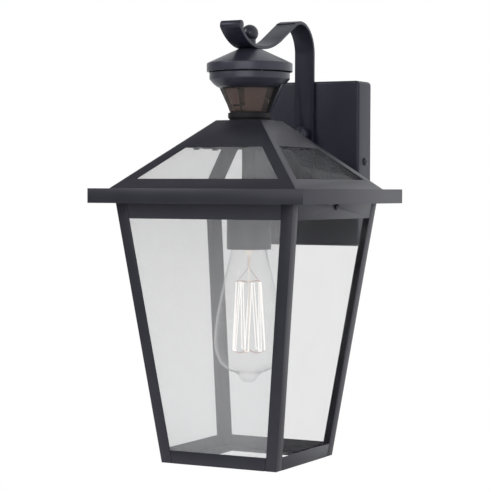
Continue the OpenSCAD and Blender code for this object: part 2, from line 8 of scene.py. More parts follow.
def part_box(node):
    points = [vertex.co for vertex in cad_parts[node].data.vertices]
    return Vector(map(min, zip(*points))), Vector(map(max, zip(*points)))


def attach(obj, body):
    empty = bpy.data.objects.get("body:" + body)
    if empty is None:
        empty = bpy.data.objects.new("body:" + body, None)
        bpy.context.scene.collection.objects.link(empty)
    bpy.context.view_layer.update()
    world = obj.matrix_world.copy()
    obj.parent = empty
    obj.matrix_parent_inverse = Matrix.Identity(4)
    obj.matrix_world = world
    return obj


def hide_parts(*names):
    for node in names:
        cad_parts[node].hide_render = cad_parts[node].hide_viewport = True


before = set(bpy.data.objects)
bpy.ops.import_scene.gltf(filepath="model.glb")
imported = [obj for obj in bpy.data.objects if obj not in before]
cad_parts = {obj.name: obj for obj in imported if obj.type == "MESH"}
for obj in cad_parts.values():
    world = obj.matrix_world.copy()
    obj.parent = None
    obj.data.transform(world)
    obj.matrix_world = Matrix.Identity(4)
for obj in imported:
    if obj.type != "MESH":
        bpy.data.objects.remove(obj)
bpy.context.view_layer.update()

MM = 0.001

# The lantern's axis and the eave's top face, in the row frame, in mm
AXIS_Y = -148.1
EAVE_Z = -25.0


def at_lantern(x, y, z):
    """A point given in mm from the lantern's axis and the eave's top face, in metres in the row
    frame."""
    return Vector((x, y + AXIS_Y, z + EAVE_Z)) * MM


def around(r, angle, z):
    """The same for a point at this distance from the axis, at an angle in radians."""
    return at_lantern(r * math.cos(angle), r * math.sin(angle), z)


def shifted(x, y, z):
    """A move by these distances in mm."""
    return Matrix.Translation(Vector((x, y, z)) * MM)


# ---------- mesh helpers ----------


def mesh_object(name, bm, material, smooth_deg=34):
    """A new object from a bmesh, smooth but for edges sharper than smooth_deg."""
    bmesh.ops.recalc_face_normals(bm, faces=bm.faces)
    limit = math.radians(smooth_deg)
    for face in bm.faces:
        face.smooth = True
    for edge in bm.edges:
        edge.smooth = len(edge.link_faces) == 2 and edge.calc_face_angle(0) < limit
    mesh = bpy.data.meshes.new(name)
    bm.to_mesh(mesh)
    bm.free()
    mesh.materials.append(material)
    obj = bpy.data.objects.new(name, mesh)
    bpy.context.scene.collection.objects.link(obj)
    return obj


def add_piece(obj, body="root", replaces=()):
    """Puts a finished piece on its body, in place of CAD nodes."""
    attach(obj, body)
    if replaces:
        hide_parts(*replaces)


def node_bmesh(node):
    """A CAD node's mesh with its seams closed and its flat faces whole."""
    bm = bmesh.new()
    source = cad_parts[node].data
    points = [bm.verts.new(v.co) for v in source.vertices]
    for polygon in source.polygons:
        corners = [points[i] for i in polygon.vertices]
        if len(set(corners)) == len(corners) and bm.faces.get(corners) is None:
            bm.faces.new(corners)
    bmesh.ops.remove_doubles(bm, verts=bm.verts, dist=0.002 * MM)
    bmesh.ops.dissolve_degenerate(bm, dist=0.001 * MM, edges=bm.edges)
    bmesh.ops.dissolve_limit(bm, angle_limit=math.radians(0.6), verts=bm.verts, edges=bm.edges)
    return bm


def round_edges(bm, edges, width):
    """Breaks edges by a small round of this width in mm."""
    bmesh.ops.bevel(
        bm, geom=edges, offset=width * MM, offset_type="OFFSET", affect="EDGES", segments=2, profile=0.5
    )


def formed(node, material, width, sharp_deg=38):
    """The CAD node's shape again, with its sharp edges broken by a round of this width in mm."""
    bm = node_bmesh(node)
    bmesh.ops.recalc_face_normals(bm, faces=bm.faces)
    sharp = math.radians(sharp_deg)
    edges = [e for e in bm.edges if len(e.link_faces) == 2 and e.calc_face_angle(0) > sharp]
    round_edges(bm, edges, width)
    obj = mesh_object(node + "_formed", bm, material)
    add_piece(obj, "root", [node])


def fillet(profile, index, radius, steps=4):
    """The points of a round of this radius at one corner of a closed profile."""
    here = Vector(profile[index])
    before = Vector(profile[index - 1]) - here
    after = Vector(profile[(index + 1) % len(profile)]) - here
    half = before.angle(after) / 2
    reach = min(radius / math.tan(half), 0.48 * before.length, 0.48 * after.length)
    radius = reach * math.tan(half)
    start = here + before.normalized() * reach
    finish = here + after.normalized() * reach
    centre = here + (before.normalized() + after.normalized()).normalized() * (radius / math.sin(half))
    points = []
    for k in range(steps + 1):
        blend = start.lerp(finish, k / steps) - centre
        points.append(centre + blend.normalized() * radius)
    return points


def rounded(profile, radius):
    """A closed profile with its corners rounded. radius is one number or one for each corner."""
    out = []
    for i, corner in enumerate(profile):
        size = radius[i] if isinstance(radius, (list, tuple)) else radius
        if size <= 0:
            out.append(Vector(corner))
        else:
            out.extend(fillet(profile, i, size))
    return out


def loft_into(bm, loops, capped=True):
    """Skins closed loops of the same number of points, in metres. The two ends are capped, or
    the last loop joins the first."""
    rows = [[bm.verts.new(p) for p in loop] for loop in loops]
    size = len(loops[0])
    pairs = list(zip(rows, rows[1:]))
    if not capped:
        pairs.append((rows[-1], rows[0]))
    for a, b in pairs:
        for i in range(size):
            j = (i + 1) % size
            bm.faces.new([a[i], a[j], b[j], b[i]])
    if capped:
        bm.faces.new(reversed(rows[0]))
        bm.faces.new(rows[-1])
    return bm


def lathe_into(bm, profile, steps, turn):
    """Turns a closed (r, z) profile in mm about the turned Z axis."""
    loops = []
    for k in range(steps):
        angle = math.radians(360.0 * k / steps)
        spots = [Vector((r * math.cos(angle), r * math.sin(angle), z)) * MM for r, z in profile]
        loops.append([turn @ spot for spot in spots])
    loft_into(bm, loops, capped=False)
    bmesh.ops.remove_doubles(bm, verts=bm.verts, dist=0.0005 * MM)
    return bm


LANTERN = Matrix.Translation(at_lantern(0, 0, 0))


def lathe(name, profile, material, body="root", replaces=(), steps=96, turn=LANTERN):
    """A turned piece, about the lantern's axis unless turn says otherwise."""
    bm = lathe_into(bmesh.new(), profile, steps, turn)
    add_piece(mesh_object(name, bm, material), body, replaces)


def tube_into(bm, points, radius, sides):
    """A round tube with flat ends along points in metres. radius is in mm."""
    last = len(points) - 1
    side = None
    loops = []
    for i, point in enumerate(points):
        along = (points[min(i + 1, last)] - points[max(i - 1, 0)]).normalized()
        if side is None:
            side = along.orthogonal().normalized()
        side = (side - along * side.dot(along)).normalized()
        other = along.cross(side)
        loop = []
        for k in range(sides):
            angle = 2 * math.pi * k / sides
            loop.append(point + (side * math.cos(angle) + other * math.sin(angle)) * radius * MM)
        loops.append(loop)
    return loft_into(bm, loops)


def box_into(bm, low, high, round_mm=0.0):
    """A box between two corners in mm, its edges rounded if round_mm says so."""
    part = bmesh.new()
    size = Vector(high) - Vector(low)
    middle = (Vector(high) + Vector(low)) / 2
    bmesh.ops.create_cube(part, size=1.0)
    bmesh.ops.scale(part, vec=size * MM, verts=part.verts)
    bmesh.ops.translate(part, vec=middle * MM, verts=part.verts)
    if round_mm:
        round_edges(part, part.edges[:], round_mm)
    scratch = bpy.data.meshes.new("scratch")
    part.to_mesh(scratch)
    part.free()
    bm.from_mesh(scratch)
    bpy.data.meshes.remove(scratch)
    return bm


def rect_loop(width, height, corner, steps=6):
    """The outline of a rectangle with round corners, in mm, centred on (0, 0)."""
    points = []
    for quarter, (sx, sz) in enumerate([(1, 1), (-1, 1), (-1, -1), (1, -1)]):
        for k in range(steps + 1):
            angle = math.radians(90 * quarter + 90 * k / steps)
            x = sx * (width / 2 - corner) + corner * math.cos(angle)
            z = sz * (height / 2 - corner) + corner * math.sin(angle)
            points.append((x, z))
    return points


# ---------- materials ----------

WHITE = (1.0, 1.0, 1.0)


def shader(name):
    """A new material, its node tree and its output node."""
    material = bpy.data.materials.new(name)
    material.use_nodes = True
    tree = material.node_tree
    tree.nodes.clear()
    return material, tree, tree.nodes.new("ShaderNodeOutputMaterial")


def put(tree, value, socket):
    """Gives a socket a value, or links another socket to it."""
    if isinstance(value, bpy.types.NodeSocket):
        tree.links.new(value, socket)
    else:
        socket.default_value = value


def add(tree, kind, **inputs):
    """A node with its inputs given as values or as sockets to link."""
    node = tree.nodes.new("ShaderNode" + kind)
    for key, value in inputs.items():
        put(tree, value, node.inputs[key.replace("_", " ")])
    return node


def combine(tree, operation, *values):
    """The result of a maths node on these values or sockets."""
    node = add(tree, "Math")
    node.operation = operation
    for value, socket in zip(values, node.inputs):
        put(tree, value, socket)
    return node.outputs["Value"]


def mix_shaders(tree, share, first, second):
    """The first shader, with the second one in its place by a share from 0 to 1."""
    mixed = add(tree, "MixShader", Fac=share)
    put(tree, first, mixed.inputs[1])
    put(tree, second, mixed.inputs[2])
    return mixed.outputs["Shader"]


def noise(tree, scale, detail, rough):
    """Noise laid out in metres on the object, so that its grain has a real size."""
    where = add(tree, "TexCoord").outputs["Object"]
    found = add(tree, "TexNoise", Vector=where, Scale=scale, Detail=detail, Roughness=rough)
    return found.outputs["Fac"]


def spread(tree, value, low, high, start=0.3, end=0.7):
    """Maps a value between start and end to the range from low to high."""
    out = add(tree, "MapRange", Value=value, From_Min=start, From_Max=end, To_Min=low, To_Max=high)
    return out.outputs["Result"]


def colour_mix(tree, value, first, second):
    """A colour between two colours, by a value from 0 to 1."""
    ramp = tree.nodes.new("ShaderNodeValToRGB")
    for stop, place, colour in zip(ramp.color_ramp.elements, (0.3, 0.7), (first, second)):
        stop.position, stop.color = place, (*colour, 1)
    tree.links.new(value, ramp.inputs["Fac"])
    return ramp.outputs["Color"]


def bump(tree, height, strength, distance_mm):
    """A normal from a height, at a real depth."""
    out = add(tree, "Bump", Strength=strength, Distance=distance_mm * MM, Height=height)
    return out.outputs["Normal"]


def solid_finish(
    name, dark, light, rough, grain, depth, metal=0.0, drift=40.0, specular=0.5, coat=0.0, tint=WHITE
):
    """An opaque finish: a colour that drifts between dark and light, and a fine grain.
    drift and grain are the noise scales of the colour and of the surface texture, depth is the
    texture's height in mm, and tint colours the mirror light."""
    material, tree, output = shader(name)
    broad = noise(tree, drift, 4.0, 0.55)
    fine = noise(tree, grain, 3.0, 0.6)
    body = add(
        tree,
        "BsdfPrincipled",
        Base_Color=colour_mix(tree, broad, dark, light),
        Roughness=spread(tree, fine, rough[0], rough[1]),
        Normal=bump(tree, fine, 0.5, depth),
        Metallic=metal,
        Coat_Weight=coat,
        Specular_IOR_Level=specular,
        Specular_Tint=(*tint, 1),
    )
    tree.links.new(body.outputs["BSDF"], output.inputs["Surface"])
    return material


def mirror_share(tree, straight, grazing):
    """How much a clear surface mirrors, straight on and at grazing angles."""
    facing = add(tree, "LayerWeight", Blend=0.5).outputs["Facing"]
    return spread(tree, combine(tree, "POWER", facing, 5.0), straight, grazing, 0.0, 1.0)


def rim_colour(tree, tint, rim):
    """A clear colour, between the two of tint, that darkens to rim where glass is seen edge on: painted shade
    along the glass's edges, in place of refraction.
    """
    facing = add(tree, "LayerWeight", Blend=0.5).outputs["Facing"]
    edge = combine(tree, "ADD", facing, spread(tree, noise(tree, 55.0, 5.0, 0.6), -0.04, 0.04))
    ramp = tree.nodes.new("ShaderNodeValToRGB")
    first, last = ramp.color_ramp.elements
    first.position, first.color = 0.3, (*tint[1], 1)
    last.position, last.color = 1.0, (*rim, 1)
    middle = ramp.color_ramp.elements.new(0.78)
    middle.color = (*tint[0], 1)
    tree.links.new(edge, ramp.inputs["Fac"])
    return ramp.outputs["Color"]


def glass_finish(name, tint, mirror, rough, ripple, haze, rim=None):
    """Thin clear glass: it lets light straight through and mirrors more at grazing angles.
    mirror is its share straight on and at grazing angles, ripple the height in mm of its slow
    waviness, haze the share of a film that scatters the light from behind it, and rim the colour
    it darkens to where it is seen edge on: a little of it the longer path through the glass, most
    of it painted shade in place of refraction."""
    material, tree, output = shader(name)
    gloss = add(
        tree,
        "BsdfGlossy",
        Color=(*WHITE, 1),
        Roughness=spread(tree, noise(tree, 90.0, 5.0, 0.6), rough[0], rough[1]),
        Normal=bump(tree, noise(tree, 28.0, 2.0, 0.4), 0.2, ripple),
    )
    if rim:
        smudge = rim_colour(tree, tint, rim)
    else:
        smudge = colour_mix(tree, noise(tree, 55.0, 5.0, 0.6), tint[0], tint[1])
    clear = add(tree, "BsdfTransparent", Color=smudge)
    film = add(tree, "BsdfTranslucent", Color=(0.97, 0.97, 0.98, 1))
    cloud = spread(tree, noise(tree, 12.0, 4.0, 0.6), haze[0], haze[1])
    cloudy = mix_shaders(tree, cloud, clear.outputs["BSDF"], film.outputs["BSDF"])
    mixed = mix_shaders(tree, mirror_share(tree, *mirror), cloudy, gloss.outputs["BSDF"])
    tree.links.new(mixed, output.inputs["Surface"])
    return material


def smoked_finish(name, tint, haze_dark, haze_light, share):
    """Smoked plastic: see-through of one tint, mixed with a milky gloss. share is how much of it
    is milky, between two limits."""
    material, tree, output = shader(name)
    cloud = noise(tree, 60.0, 4.0, 0.55)
    fine = noise(tree, 900.0, 2.0, 0.5)
    milky = add(
        tree,
        "BsdfPrincipled",
        Base_Color=colour_mix(tree, cloud, haze_dark, haze_light),
        Roughness=spread(tree, fine, 0.22, 0.34),
        Normal=bump(tree, fine, 0.3, 0.02),
    )
    clear = add(tree, "BsdfTransparent", Color=(*tint, 1))
    amount = spread(tree, cloud, share[0], share[1])
    mixed = mix_shaders(tree, amount, clear.outputs["BSDF"], milky.outputs["BSDF"])
    tree.links.new(mixed, output.inputs["Surface"])
    return material


def glowing_finish(name, core, edge, strength):
    """A part that gives light, a little redder in places along it. On the glass stem the glow is painted
    light, as if the filament lit it.
    """
    material, tree, output = shader(name)
    along = noise(tree, 300.0, 2.0, 0.5)
    glow = add(tree, "Emission", Color=colour_mix(tree, along, edge, core), Strength=strength)
    tree.links.new(glow.outputs["Emission"], output.inputs["Surface"])
    return material


BLACK_METAL = solid_finish(
    "black_powder_coat", (0.014, 0.0138, 0.021), (0.019, 0.0187, 0.0275), (0.33, 0.45), 2600.0, 0.008,
    tint=(0.94, 0.93, 1.0),
)
COOL_METAL = solid_finish(
    "cool_black_powder_coat", (0.011, 0.011, 0.021), (0.015, 0.015, 0.028), (0.33, 0.45), 2600.0, 0.008,
    specular=0.42, tint=(0.88, 0.89, 1.0),
)
BLACK_GLOSS = solid_finish(
    "black_satin_enamel", (0.018, 0.018, 0.028), (0.024, 0.024, 0.036), (0.24, 0.32), 1800.0, 0.005,
    tint=(0.9, 0.91, 1.0),
)
BLACK_PLASTIC = solid_finish(
    "black_moulded_plastic", (0.026, 0.026, 0.038), (0.033, 0.033, 0.048), (0.27, 0.36), 3200.0, 0.008,
    tint=(0.9, 0.91, 1.0),
)
# Near-black matte plastic: the sensor base ring's own colour, and painted shade on the rear shell's end
# walls, which are darker than the shell's plastic where the housing shades them.
MATTE_AND_SHADE_PLASTIC = solid_finish(
    "matte_black_plastic_and_painted_shade", (0.006, 0.006, 0.008), (0.01, 0.01, 0.013), (0.5, 0.62), 3200.0, 0.008,
    specular=0.22,
)
DARK_RUBBER = solid_finish(
    "dark_rubber", (0.012, 0.012, 0.013), (0.024, 0.024, 0.026), (0.7, 0.9), 1400.0, 0.08,
    drift=160.0,
)
ZINC = solid_finish(
    "zinc_plated_steel", (0.42, 0.43, 0.46), (0.62, 0.62, 0.64), (0.26, 0.46), 900.0, 0.02,
    metal=1.0, drift=220.0,
)
GREEN_METAL = solid_finish(
    "green_screw_plating", (0.03, 0.2, 0.07), (0.06, 0.32, 0.12), (0.28, 0.42), 1100.0, 0.02,
    metal=0.85, drift=300.0,
)
BRASS = solid_finish(
    "brass_contact", (0.52, 0.34, 0.12), (0.72, 0.5, 0.2), (0.22, 0.42), 800.0, 0.015,
    metal=1.0, drift=180.0,
)
CAP_METAL = solid_finish(
    "nickel_lamp_cap", (0.5, 0.49, 0.47), (0.7, 0.69, 0.66), (0.2, 0.38), 700.0, 0.015,
    metal=1.0, drift=180.0,
)
COPPER = solid_finish(
    "copper_support_wire", (0.5, 0.2, 0.09), (0.72, 0.34, 0.17), (0.28, 0.44), 900.0, 0.01,
    metal=1.0, drift=260.0,
)
PORCELAIN = solid_finish(
    "glazed_porcelain", (0.72, 0.7, 0.64), (0.82, 0.8, 0.75), (0.12, 0.24), 500.0, 0.05,
    drift=70.0, coat=0.4,
)
BOARD = solid_finish(
    "green_circuit_board", (0.02, 0.11, 0.045), (0.035, 0.16, 0.07), (0.3, 0.45), 1500.0, 0.03,
    drift=500.0,
)
COMPONENT = solid_finish(
    "component_mouldings", (0.02, 0.05, 0.12), (0.035, 0.08, 0.17), (0.35, 0.5), 1200.0, 0.03,
    drift=200.0,
)
DETECTOR = solid_finish(
    "detector_can", (0.45, 0.42, 0.36), (0.6, 0.57, 0.5), (0.25, 0.4), 900.0, 0.01,
    metal=1.0, drift=200.0,
)
SWITCH = solid_finish(
    "pale_switch_plastic", (0.62, 0.62, 0.59), (0.72, 0.72, 0.69), (0.35, 0.5), 1600.0, 0.03,
    drift=150.0,
)
PANE_TINT = ((0.94, 0.94, 0.94), (0.95, 0.95, 0.95))
FRONT_TINT = ((0.985, 0.985, 0.985), (0.99, 0.99, 0.99))
PANE_GLASS = glass_finish("clear_pane_glass", PANE_TINT, (0.003, 0.14), (0.0, 0.03), 0.02, (0.0, 0.006))
FRONT_GLASS = glass_finish("clear_front_glass", FRONT_TINT, (0.006, 0.2), (0.01, 0.02), 0.004, (0.246, 0.254))
SIDE_GLASS = glass_finish("clear_side_glass", PANE_TINT, (0.003, 0.1), (0.01, 0.02), 0.004, (0.06, 0.07))
BULB_TINT = ((0.993, 0.993, 0.991), (0.998, 0.998, 0.997))
# The bulb glass's dark rim is painted shade along its edges.
BULB_GLASS = glass_finish(
    "clear_bulb_glass", BULB_TINT, (0.012, 0.75), (0.0, 0.02), 0.01, (0.01, 0.02), rim=(0.3, 0.3, 0.32)
)
SMOKED = smoked_finish(
    "smoked_lens_plastic", (0.78, 0.71, 0.68), (0.13, 0.114, 0.11), (0.145, 0.129, 0.124), (0.24, 0.28)
)
LENS_SHEET = smoked_finish(
    "pale_lens_sheet", (0.7, 0.66, 0.62), (0.52, 0.48, 0.465), (0.6, 0.555, 0.54), (0.85, 0.92)
)
GLOW = glowing_finish("glowing_filament", (1.0, 0.97, 0.935), (1.0, 0.93, 0.87), 1.7)
# Painted light: the glass stem glows as if lit by the filament.
LIT_STEM = glowing_finish("stem_glass_lit_by_filament", (1.0, 0.95, 0.87), (0.98, 0.88, 0.72), 0.92)


# ---------- sheet metal, glass and small fixings, shaped from the CAD ----------

SIDES = ("front", "right", "back", "left")

FORMED = [
    # node, material, slot, width of the broken edge in mm
    ("wall_gasket", DARK_RUBBER, "foam_rubber", 0.5),
    ("mounting_bracket", ZINC, "zinc_steel", 0.3),
    ("ground_screw", GREEN_METAL, "green_metal", 0.2),
    ("plate_gland", DARK_RUBBER, "foam_rubber", 0.5),
    ("scroll_arm", COOL_METAL, "black_frame", 0.5),
    ("arm_bolts", ZINC, "zinc_steel", 0.25),
    ("arm_lock_nuts", ZINC, "zinc_steel", 0.3),
    ("sensor_gland", DARK_RUBBER, "foam_rubber", 0.4),
    ("switch_plate", BLACK_PLASTIC, "black_plastic", 0.25),
    ("roof_frame", BLACK_METAL, "black_frame", 0.3),
    ("eave_rim", BLACK_METAL, "black_frame", 0.35),
    ("roof_screws", ZINC, "zinc_steel", 0.3),
    ("roof_glass_clips", BLACK_METAL, "black_frame", 0.2),
    ("body_glass_clips", BLACK_METAL, "black_frame", 0.2),
    ("corner_posts", BLACK_METAL, "black_frame", 0.3),
    ("socket_nipple", ZINC, "zinc_steel", 0.3),
    ("centre_contact", BRASS, "brass_contact", 0.2),
]
ROOF_GLASS = {"front": FRONT_GLASS, "right": SIDE_GLASS, "back": PANE_GLASS, "left": PANE_GLASS}
BODY_GLASS = {"front": FRONT_GLASS, "right": PANE_GLASS, "back": PANE_GLASS, "left": PANE_GLASS}
for side in SIDES:
    FORMED.append(("top_rail_" + side, BLACK_METAL, "black_frame", 0.25))
    FORMED.append(("bottom_rail_" + side, BLACK_METAL, "black_frame", 0.25))
    FORMED.append(("roof_pane_" + side, ROOF_GLASS[side], "pane_glass", 0.3))
    FORMED.append(("body_pane_" + side, BODY_GLASS[side], "pane_glass", 0.3))

for node, material, slot, width in FORMED:
    formed(node, material, width)


# ---------- wall plate ----------

PLATE_LOW, PLATE_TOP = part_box("wall_plate")
PLATE_W = (PLATE_TOP.x - PLATE_LOW.x) / MM
PLATE_H = (PLATE_TOP.z - PLATE_LOW.z) / MM
PLATE_FRONT = PLATE_LOW.y / MM
PLATE_BACK = PLATE_TOP.y / MM
PLATE_CORNER = 4.0
PLATE_CORNER_LEAST = 0.8
PLATE_ROUND = 2.4
PLATE_INNER_ROUND = 1.2
PLATE_WALL = 2.0


def plate_loop(inset, y):
    """A round-cornered loop around the plate, this far inside its outline."""
    corner = max(PLATE_CORNER - inset, PLATE_CORNER_LEAST)
    loop = rect_loop(PLATE_W - 2 * inset, PLATE_H - 2 * inset, corner)
    return [Vector((x, y, z)) * MM for x, z in loop]


def plate_round(inset, depth, radius, steps=5):
    """Loops around a quarter round from the side wall to the front face."""
    loops = []
    for k in range(steps + 1):
        angle = math.radians(90 * k / steps)
        inward = inset + radius * (1 - math.cos(angle))
        loops.append(plate_loop(inward, depth + radius * (1 - math.sin(angle))))
    return loops


def cut(obj, cutters):
    """Takes cutters, a bmesh, out of an object's mesh for good."""
    mesh = bpy.data.meshes.new("cutter")
    bmesh.ops.recalc_face_normals(cutters, faces=cutters.faces)
    cutters.to_mesh(mesh)
    cutters.free()
    tool = bpy.data.objects.new("cutter", mesh)
    bpy.context.scene.collection.objects.link(tool)
    modifier = obj.modifiers.new("cut", "BOOLEAN")
    modifier.operation = "DIFFERENCE"
    modifier.solver = "EXACT"
    modifier.object = tool
    graph = bpy.context.evaluated_depsgraph_get()
    result = bpy.data.meshes.new_from_object(obj.evaluated_get(graph))
    obj.modifiers.clear()
    obj.data = result
    bpy.data.objects.remove(tool)


ALONG_Y = Matrix.Rotation(math.radians(90), 4, "X")
ALONG_X = Matrix.Rotation(math.radians(90), 4, "Y")


def rod_into(bm, radius, low, high, turn, sides=32):
    """A plain round rod along the turned Z axis, for cutting holes."""
    loops = []
    for z in (low, high):
        loop = []
        for k in range(sides):
            angle = 2 * math.pi * k / sides
            loop.append(turn @ (Vector((radius * math.cos(angle), radius * math.sin(angle), z)) * MM))
        loops.append(loop)
    loft_into(bm, loops)


def node_centre(node):
    """The middle of a CAD node's box, in metres."""
    low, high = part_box(node)
    return (low + high) / 2


# How far the cutters for the pan's holes reach past its front and its sides, in mm
HOLE_INWARD = 6.0
HOLE_OUTWARD = 2.0
SIDE_HOLE_REACH = 5.0
BOLT_HOLE_R = 2.7
SCREW_HOLE_R = 2.4
GLAND_HOLE_R = 5.0
ARM_NUT_RISE = 28.3
SCREWS = node_centre("plate_side_screws") / MM


def front_hole_into(bm, radius, x, z):
    """A cutter for a hole in the plate's front face."""
    place = shifted(x, 0, z) @ ALONG_Y
    rod_into(bm, radius, -PLATE_FRONT - HOLE_INWARD, -PLATE_FRONT + HOLE_OUTWARD, place)


def wall_plate():
    """The hollow pan, open at the wall, with its bolt, screw and gland holes."""
    inner = [plate_loop(PLATE_WALL, PLATE_BACK)]
    inner += plate_round(PLATE_WALL, PLATE_FRONT + PLATE_WALL, PLATE_INNER_ROUND)
    outer = [plate_loop(0, PLATE_BACK)]
    outer += plate_round(0, PLATE_FRONT, PLATE_ROUND)
    bm = loft_into(bmesh.new(), list(reversed(inner)) + outer)
    obj = mesh_object("wall_plate_pan", bm, COOL_METAL)
    holes = bmesh.new()
    screw_line = shifted(0, SCREWS.y, SCREWS.z) @ ALONG_X
    for sign in (-1, 1):
        front_hole_into(holes, BOLT_HOLE_R, 0, sign * ARM_NUT_RISE)
        side = sign * PLATE_W / 2
        rod_into(holes, SCREW_HOLE_R, side - SIDE_HOLE_REACH, side + SIDE_HOLE_REACH, screw_line)
    gland = node_centre("plate_gland") / MM
    front_hole_into(holes, GLAND_HOLE_R, gland.x, gland.z)
    cut(obj, holes)
    add_piece(obj, "root", ["wall_plate"])


wall_plate()


def screw_profile(head_r, head_h, shank_r, shank):
    """Closed profile of a round-head screw: seat at z = 0, shank below."""
    edge = 0.35
    steps = 7
    points = [(0, -shank), (shank_r - 0.3, -shank), (shank_r, -shank + 0.4), (shank_r, 0), (head_r, 0)]
    for k in range(steps + 1):
        angle = math.radians(90 * k / steps)
        points.append((head_r * math.cos(angle), edge + (head_h - edge) * math.sin(angle)))
    return points


RECESS_SLOT = 0.42
RECESS_DEPTH = 0.9


def recess_into(bm, head_h, half, turn):
    """Cross recess in a screw head, to be cut out: a plus-shaped prism with arms this long."""
    corners = []
    for quarter in range(4):
        spin = Matrix.Rotation(math.radians(90 * quarter), 3, "Z")
        for x, y in ((half, -RECESS_SLOT), (half, RECESS_SLOT), (RECESS_SLOT, RECESS_SLOT)):
            corners.append(spin @ Vector((x, y, 0)))
    loops = []
    for z in (head_h - RECESS_DEPTH, head_h + 0.6):
        loops.append([turn @ ((corner + Vector((0, 0, z))) * MM) for corner in corners])
    loft_into(bm, loops)


def round_screws(node, seat, lean, head_r, head_h, shank_r, shank, recess, steps):
    """A pair of round-head screws, left and right of the middle plane, in place of a CAD node.
    seat is the right one's seat in metres and lean is how far both point downwards, in degrees."""
    bm = bmesh.new()
    recesses = bmesh.new()
    for sign in (-1, 1):
        place = Matrix.Translation(Vector((sign * seat.x, seat.y, seat.z)))
        turn = place @ Matrix.Rotation(math.radians(sign * (90 + lean)), 4, "Y")
        lathe_into(bm, screw_profile(head_r, head_h, shank_r, shank), steps, turn)
        recess_into(recesses, head_h, recess, turn)
    obj = mesh_object(node + "_round", bm, BLACK_GLOSS)
    cut(obj, recesses)
    add_piece(obj, "root", [node])


CAGE_LEAN = 7.4
CAGE_HEAD_SEAT = 1.5
PLATE_SIDE = Vector((PLATE_W / 2, SCREWS.y, SCREWS.z)) * MM
CAGE_SIDE = node_centre("cage_screws")
CAGE_SIDE.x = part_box("cage_screws")[1].x - CAGE_HEAD_SEAT * MM
round_screws(
    "plate_side_screws", PLATE_SIDE, 0, head_r=3.9, head_h=2.5, shank_r=1.95, shank=8, recess=1.9, steps=48
)
round_screws(
    "cage_screws", CAGE_SIDE, CAGE_LEAN, head_r=3.1, head_h=1.6, shank_r=1.45, shank=2.2, recess=1.6, steps=40
)


# ---------- ball nuts, finial and stud ----------

BALL_R = 7.9
BALL_RISE = 5.4
BALL_STEPS = 28


def ball_profile(collar_h, collar_r, bore, bore_top):
    """Closed profile of a ball knob on a collar: seat at z = 0, bored from below. Only a tall
    collar has a straight side."""
    centre = collar_h + BALL_RISE
    join = -math.acos(collar_r / BALL_R)
    points = [(bore, 0), (collar_r - 0.5, 0), (collar_r, 0.5)]
    neck = centre + BALL_R * math.sin(join)
    if neck > 1.0:
        points.append((collar_r, neck - 0.4))
    for k in range(BALL_STEPS + 1):
        angle = join + (math.pi / 2 - join) * k / BALL_STEPS
        points.append((BALL_R * math.cos(angle), centre + BALL_R * math.sin(angle)))
    points += [(0, bore_top), (bore, bore_top - 0.8)]
    return points


# Front face of the arm's upright, in mm from the wall
ARM_FACE_Y = -33.0
CAP_NUT_PROFILE = [
    (2.5, 0), (5.1, 0), (5.4, 0.3), (5.4, 2.6), (5.1, 3.3), (4.4, 3.9), (3.2, 4.25), (1.6, 4.4), (0, 4.4),
    (0, 3.2), (2.5, 3.2),
]


def arm_front_nuts():
    """The ball nut on the front of the arm's upright, and the low cap nut below it."""
    bm = bmesh.new()
    ball = shifted(0, ARM_FACE_Y, ARM_NUT_RISE) @ ALONG_Y
    lathe_into(bm, ball_profile(collar_h=0.8, collar_r=5.4, bore=2.5, bore_top=8.0), 64, ball)
    low = shifted(0, ARM_FACE_Y, -ARM_NUT_RISE) @ ALONG_Y
    lathe_into(bm, CAP_NUT_PROFILE, 48, low)
    obj = mesh_object("arm_front_nuts_turned", bm, BLACK_GLOSS)
    add_piece(obj, "root", ["arm_front_nuts"])


arm_front_nuts()

FINIAL_SEAT = 133.2
FINIAL_PLACE = LANTERN @ shifted(0, 0, FINIAL_SEAT)
finial = ball_profile(collar_h=4.95, collar_r=5.6, bore=4.8, bore_top=8.0)
lathe("top_ball_turned", finial, BLACK_GLOSS, "root", ["top_ball_finial"], 64, FINIAL_PLACE)


def threaded_profile(radius, root, low, high, pitch):
    """Closed profile of a stud with thread ridges between two heights."""
    plain = 0.4
    points = [(0, low), (root, low)]
    z = low + plain
    while z + pitch < high - plain:
        points += [(root, z), (radius, z + 0.35 * pitch), (radius, z + 0.6 * pitch)]
        z += pitch
    points += [(root, high - 0.2), (root - 0.6, high), (0, high)]
    return points


stud = threaded_profile(radius=4.8, root=4.25, low=50, high=139.2, pitch=1.6)
lathe("hanger_stud_threaded", stud, ZINC, "root", ["hanger_stud"], 40)


# ---------- sensor head ----------

CAP_PROFILE = [
    (39.7, 107.7), (39.7, 115.5), (31.3, 119.5), (17.1, 126.0), (10.4, 129.0), (5.0, 129.0),
    (5.0, 126.2), (9.4, 126.2), (16.6, 123.8), (30.8, 117.4), (37.7, 113.6), (37.7, 107.7),
]
CAP_ROUNDS = [0.6, 1.1, 6.0, 14.0, 0.9, 0.3, 0.2, 0.6, 3.0, 3.0, 0.6, 0.5]
cap = rounded(CAP_PROFILE, CAP_ROUNDS)
lathe("sensor_cap_turned", cap, BLACK_PLASTIC, "root", ["sensor_cap"], 128)

